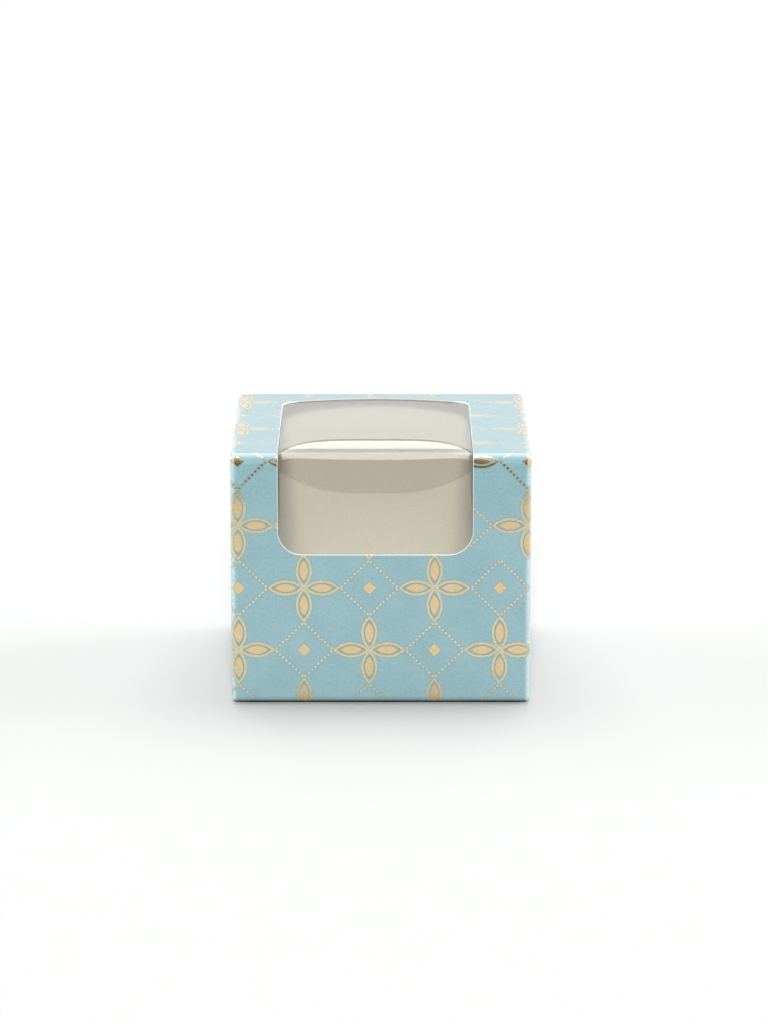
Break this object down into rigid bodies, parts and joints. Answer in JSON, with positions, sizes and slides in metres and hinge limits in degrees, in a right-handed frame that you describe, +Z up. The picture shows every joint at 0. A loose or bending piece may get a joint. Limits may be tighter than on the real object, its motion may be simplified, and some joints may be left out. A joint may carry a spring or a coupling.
{
  "type": "windowed sweet box",
  "caption": "Square folding carton for sweets with a tuck lid, tuck base, dust flaps and a clear window over the front top edge.",
  "frame": {"origin": "under the middle of the box, on the face it rests on", "axes": "+Z up, -Y out of the window front, +X to the right seen from the front"},
  "size_m": [0.0888, 0.0888, 0.0762],
  "materials": {
    "printed_board": "pale blue print with gold foil lattice, satin",
    "plain_board": "unprinted board, matte",
    "clear_film": "clear glossy film"
  },
  "bodies": {
    "carton": {"front_panel": "printed_board", "right_panel": "printed_board", "back_panel": "printed_board", "left_panel": "printed_board", "glue_flap": "plain_board", "window_film_front": "clear_film", "window_film_bend": "clear_film"},
    "lid": {"lid_panel": "printed_board", "window_film_lid": "clear_film"},
    "lid_tuck": {"lid_tuck_flap": "printed_board"},
    "top_flap_left": {"top_dust_flap_left": "printed_board"},
    "top_flap_right": {"top_dust_flap_right": "printed_board"},
    "base": {"base_panel": "printed_board"},
    "base_tuck": {"base_tuck_flap": "printed_board"},
    "base_flap_left": {"base_dust_flap_left": "printed_board"},
    "base_flap_right": {"base_dust_flap_right": "printed_board"}
  },
  "joints": [
    {"name": "lid_crease", "type": "hinge", "parent": "carton", "child": "lid", "pos_m": [0, -0.0441, 0.07585], "axis": [1, 0, 0], "range_deg": [0, 100], "deforming": ["window_film_bend"]},
    {"name": "lid_tuck_crease", "type": "hinge", "parent": "lid", "child": "lid_tuck", "pos_m": [0, 0.04291, 0.07579], "axis": [1, 0, 0], "range_deg": [0, 30]},
    {"name": "top_flap_left_crease", "type": "hinge", "parent": "carton", "child": "top_flap_left", "pos_m": [-0.0441, 0, 0.07515], "axis": [0, -1, 0], "range_deg": [0, 85]},
    {"name": "top_flap_right_crease", "type": "hinge", "parent": "carton", "child": "top_flap_right", "pos_m": [0.0441, 0, 0.07515], "axis": [0, 1, 0], "range_deg": [0, 85]},
    {"name": "base_crease", "type": "hinge", "parent": "carton", "child": "base", "pos_m": [0, -0.0441, 0.00035], "axis": [-1, 0, 0], "range_deg": [0, 120]},
    {"name": "base_tuck_crease", "type": "hinge", "parent": "base", "child": "base_tuck", "pos_m": [0, 0.04291, 0.00041], "axis": [-1, 0, 0], "range_deg": [0, 36]},
    {"name": "base_flap_left_crease", "type": "hinge", "parent": "carton", "child": "base_flap_left", "pos_m": [-0.0441, 0, 0.00105], "axis": [0, 1, 0], "range_deg": [0, 90]},
    {"name": "base_flap_right_crease", "type": "hinge", "parent": "carton", "child": "base_flap_right", "pos_m": [0.0441, 0, 0.00105], "axis": [0, -1, 0], "range_deg": [0, 90]}
  ],
  "couplings": [
    {"joint": "lid_tuck_crease", "follows": "lid_crease", "ratio": 0.3},
    {"joint": "top_flap_left_crease", "follows": "lid_crease", "ratio": 0.85},
    {"joint": "top_flap_right_crease", "follows": "lid_crease", "ratio": 0.85},
    {"joint": "base_tuck_crease", "follows": "base_crease", "ratio": 0.3},
    {"joint": "base_flap_left_crease", "follows": "base_crease", "ratio": 0.75},
    {"joint": "base_flap_right_crease", "follows": "base_crease", "ratio": 0.75}
  ]
}
